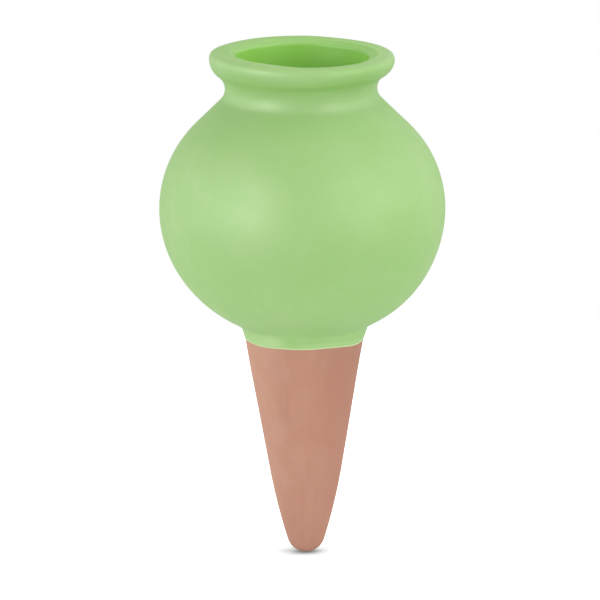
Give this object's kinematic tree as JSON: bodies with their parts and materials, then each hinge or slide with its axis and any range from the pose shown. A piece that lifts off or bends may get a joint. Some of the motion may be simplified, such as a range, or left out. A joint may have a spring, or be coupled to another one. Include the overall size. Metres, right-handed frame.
{
  "type": "self watering spike",
  "caption": "Round glazed clay globe with a rolled rim on a bare porous clay spike. Pushed into potting soil and filled with water, it weeps water through the spike.",
  "frame": {"origin": "on the axis at the soil line, where the glaze ends and the bare spike begins", "axes": "+Z along the axis, from the spike's tip up through the mouth; +X to the right and +Y away from the viewer of the picture; the shape is turned about Z"},
  "size_m": [0.0644, 0.0644, 0.115],
  "materials": {
    "terracotta": "bare, matt, porous",
    "fired_slip": "bare, matt",
    "green_glaze": "satin, opaque"
  },
  "bodies": {
    "root": {"clay_spike": "terracotta", "slip_joint": "fired_slip", "clay_globe": "terracotta", "outer_glaze": "green_glaze", "inner_glaze": "green_glaze"}
  },
  "joints": []
}
